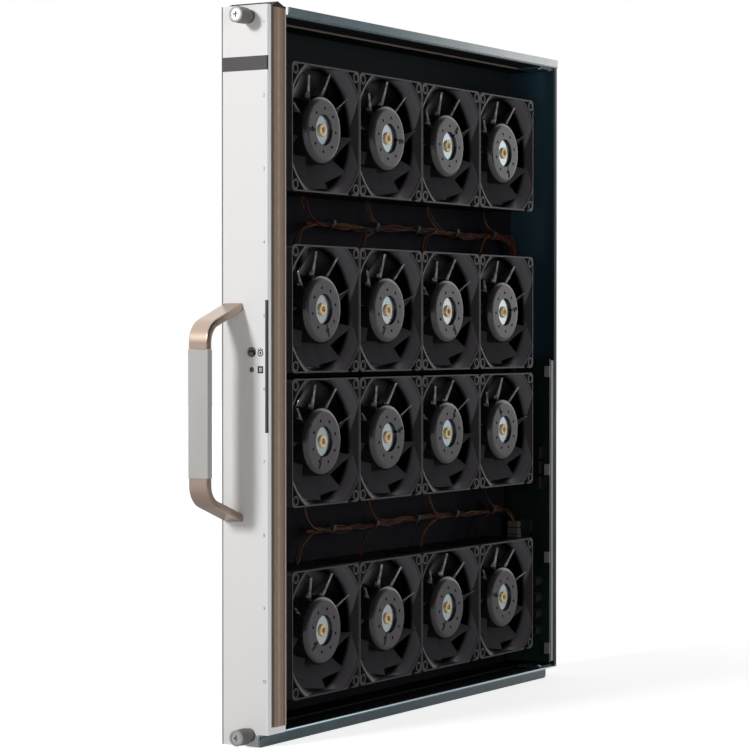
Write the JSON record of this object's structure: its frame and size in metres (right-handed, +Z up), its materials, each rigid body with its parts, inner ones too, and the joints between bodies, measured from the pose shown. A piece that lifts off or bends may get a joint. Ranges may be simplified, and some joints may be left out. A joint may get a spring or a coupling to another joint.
{
  "type": "fan tray",
  "caption": "Tall narrow hot-swap fan tray: painted front plate with bow handle and captive screws, sheet-metal tray behind it with a grid of axial fans.",
  "frame": {"origin": "middle of the lower guide channel, below the centre of the fan grid, at the base", "axes": "+X out of the intake side, +Y from the front plate to the rear, +Z up"},
  "size_m": [0.0476, 0.4412, 0.4536],
  "materials": {
    "plate_paint": "pale grey powder coat",
    "gasket_fabric": "conductive fabric over foam",
    "tray_steel": "zinc-plated sheet steel, blue-grey",
    "handle_bronze": "champagne anodised",
    "grip_paint": "satin warm grey",
    "fastener_steel": "zinc-plated",
    "knob_nickel": "nickel-plated, knurled",
    "button_plastic": "translucent pale",
    "lens_plastic": "translucent",
    "board_laminate": "solder-masked laminate",
    "stator_copper": "enamelled windings on laminations",
    "component_body": "mixed board parts",
    "clip_plastic": "moulded nylon",
    "connector_plastic": "glass-filled moulding",
    "wire_jacket": "tied wire bundles",
    "frame_plastic": "glass-filled moulding",
    "impeller_plastic": "glass-filled moulding on a steel yoke"
  },
  "bodies": {
    "tray": {"faceplate": "plate_paint", "emi_gasket": "gasket_fabric", "floor_plate": "tray_steel", "top_plate": "tray_steel", "outlet_panel": "tray_steel", "rear_wall": "tray_steel", "handle_upper_arm": "handle_bronze", "handle_lower_arm": "handle_bronze", "handle_grip": "grip_paint", "handle_screws": "fastener_steel", "screw_ferrules": "fastener_steel", "rivets": "fastener_steel", "upper_screw_spring": "fastener_steel", "lower_screw_spring": "fastener_steel", "status_light_pipe": "lens_plastic", "indicator_board": "board_laminate", "fan_stators": "stator_copper", "fan_bearings": "fastener_steel", "fan_screws": "fastener_steel", "control_board": "board_laminate", "board_components": "component_body", "board_clips": "clip_plastic", "rear_connector": "connector_plastic", "wire_harness": "wire_jacket", "fan_frame_r1c1": "frame_plastic", "fan_frame_r1c2": "frame_plastic", "fan_frame_r1c3": "frame_plastic", "fan_frame_r1c4": "frame_plastic", "fan_frame_r2c1": "frame_plastic", "fan_frame_r2c2": "frame_plastic", "fan_frame_r2c3": "frame_plastic", "fan_frame_r2c4": "frame_plastic", "fan_frame_r3c1": "frame_plastic", "fan_frame_r3c2": "frame_plastic", "fan_frame_r3c3": "frame_plastic", "fan_frame_r3c4": "frame_plastic", "fan_frame_r4c1": "frame_plastic", "fan_frame_r4c2": "frame_plastic", "fan_frame_r4c3": "frame_plastic", "fan_frame_r4c4": "frame_plastic"},
    "rotor_r1c1": {"impeller_r1c1": "impeller_plastic"},
    "rotor_r1c2": {"impeller_r1c2": "impeller_plastic"},
    "rotor_r1c3": {"impeller_r1c3": "impeller_plastic"},
    "rotor_r1c4": {"impeller_r1c4": "impeller_plastic"},
    "rotor_r2c1": {"impeller_r2c1": "impeller_plastic"},
    "rotor_r2c2": {"impeller_r2c2": "impeller_plastic"},
    "rotor_r2c3": {"impeller_r2c3": "impeller_plastic"},
    "rotor_r2c4": {"impeller_r2c4": "impeller_plastic"},
    "rotor_r3c1": {"impeller_r3c1": "impeller_plastic"},
    "rotor_r3c2": {"impeller_r3c2": "impeller_plastic"},
    "rotor_r3c3": {"impeller_r3c3": "impeller_plastic"},
    "rotor_r3c4": {"impeller_r3c4": "impeller_plastic"},
    "rotor_r4c1": {"impeller_r4c1": "impeller_plastic"},
    "rotor_r4c2": {"impeller_r4c2": "impeller_plastic"},
    "rotor_r4c3": {"impeller_r4c3": "impeller_plastic"},
    "rotor_r4c4": {"impeller_r4c4": "impeller_plastic"},
    "upper_screw_carriage": {"upper_screw_retainer": "fastener_steel"},
    "upper_screw": {"upper_thumbscrew": "knob_nickel", "upper_screw_shank": "fastener_steel"},
    "lower_screw_carriage": {"lower_screw_retainer": "fastener_steel"},
    "lower_screw": {"lower_thumbscrew": "knob_nickel", "lower_screw_shank": "fastener_steel"},
    "beacon": {"beacon_button": "button_plastic"}
  },
  "joints": [
    {"name": "rotor_r1c1_spin", "type": "hinge", "parent": "tray", "child": "rotor_r1c1", "pos_m": [0, -0.1209, 0.3801], "axis": [1, 0, 0], "continuous": true},
    {"name": "rotor_r1c2_spin", "type": "hinge", "parent": "tray", "child": "rotor_r1c2", "pos_m": [0, -0.0403, 0.3801], "axis": [1, 0, 0], "continuous": true},
    {"name": "rotor_r1c3_spin", "type": "hinge", "parent": "tray", "child": "rotor_r1c3", "pos_m": [0, 0.0403, 0.3801], "axis": [1, 0, 0], "continuous": true},
    {"name": "rotor_r1c4_spin", "type": "hinge", "parent": "tray", "child": "rotor_r1c4", "pos_m": [0, 0.1209, 0.3801], "axis": [1, 0, 0], "continuous": true},
    {"name": "rotor_r2c1_spin", "type": "hinge", "parent": "tray", "child": "rotor_r2c1", "pos_m": [0, -0.1209, 0.2671], "axis": [1, 0, 0], "continuous": true},
    {"name": "rotor_r2c2_spin", "type": "hinge", "parent": "tray", "child": "rotor_r2c2", "pos_m": [0, -0.0403, 0.2671], "axis": [1, 0, 0], "continuous": true},
    {"name": "rotor_r2c3_spin", "type": "hinge", "parent": "tray", "child": "rotor_r2c3", "pos_m": [0, 0.0403, 0.2671], "axis": [1, 0, 0], "continuous": true},
    {"name": "rotor_r2c4_spin", "type": "hinge", "parent": "tray", "child": "rotor_r2c4", "pos_m": [0, 0.1209, 0.2671], "axis": [1, 0, 0], "continuous": true},
    {"name": "rotor_r3c1_spin", "type": "hinge", "parent": "tray", "child": "rotor_r3c1", "pos_m": [0, -0.1209, 0.1835], "axis": [1, 0, 0], "continuous": true},
    {"name": "rotor_r3c2_spin", "type": "hinge", "parent": "tray", "child": "rotor_r3c2", "pos_m": [0, -0.0403, 0.1835], "axis": [1, 0, 0], "continuous": true},
    {"name": "rotor_r3c3_spin", "type": "hinge", "parent": "tray", "child": "rotor_r3c3", "pos_m": [0, 0.0403, 0.1835], "axis": [1, 0, 0], "continuous": true},
    {"name": "rotor_r3c4_spin", "type": "hinge", "parent": "tray", "child": "rotor_r3c4", "pos_m": [0, 0.1209, 0.1835], "axis": [1, 0, 0], "continuous": true},
    {"name": "rotor_r4c1_spin", "type": "hinge", "parent": "tray", "child": "rotor_r4c1", "pos_m": [0, -0.1209, 0.0639], "axis": [1, 0, 0], "continuous": true},
    {"name": "rotor_r4c2_spin", "type": "hinge", "parent": "tray", "child": "rotor_r4c2", "pos_m": [0, -0.0403, 0.0639], "axis": [1, 0, 0], "continuous": true},
    {"name": "rotor_r4c3_spin", "type": "hinge", "parent": "tray", "child": "rotor_r4c3", "pos_m": [0, 0.0403, 0.0639], "axis": [1, 0, 0], "continuous": true},
    {"name": "rotor_r4c4_spin", "type": "hinge", "parent": "tray", "child": "rotor_r4c4", "pos_m": [0, 0.1209, 0.0639], "axis": [1, 0, 0], "continuous": true},
    {"name": "upper_screw_push", "type": "slide", "parent": "tray", "child": "upper_screw_carriage", "axis": [0, 1, 0], "range_m": [0, 0.004], "stiffness_N_per_m": 500, "springref_m": -0.004, "deforming": ["upper_screw_spring"]},
    {"name": "upper_screw_turn", "type": "hinge", "parent": "upper_screw_carriage", "child": "upper_screw", "pos_m": [0.0117, -0.1966, 0.444], "axis": [0, 1, 0], "continuous": true},
    {"name": "lower_screw_push", "type": "slide", "parent": "tray", "child": "lower_screw_carriage", "axis": [0, 1, 0], "range_m": [0, 0.004], "stiffness_N_per_m": 500, "springref_m": -0.004, "deforming": ["lower_screw_spring"]},
    {"name": "lower_screw_turn", "type": "hinge", "parent": "lower_screw_carriage", "child": "lower_screw", "pos_m": [0.0117, -0.1966, 0.007], "axis": [0, 1, 0], "continuous": true},
    {"name": "beacon_press", "type": "slide", "parent": "tray", "child": "beacon", "axis": [0, 1, 0], "range_m": [0, 0.001], "stiffness_N_per_m": 800, "springref_m": -0.001}
  ]
}
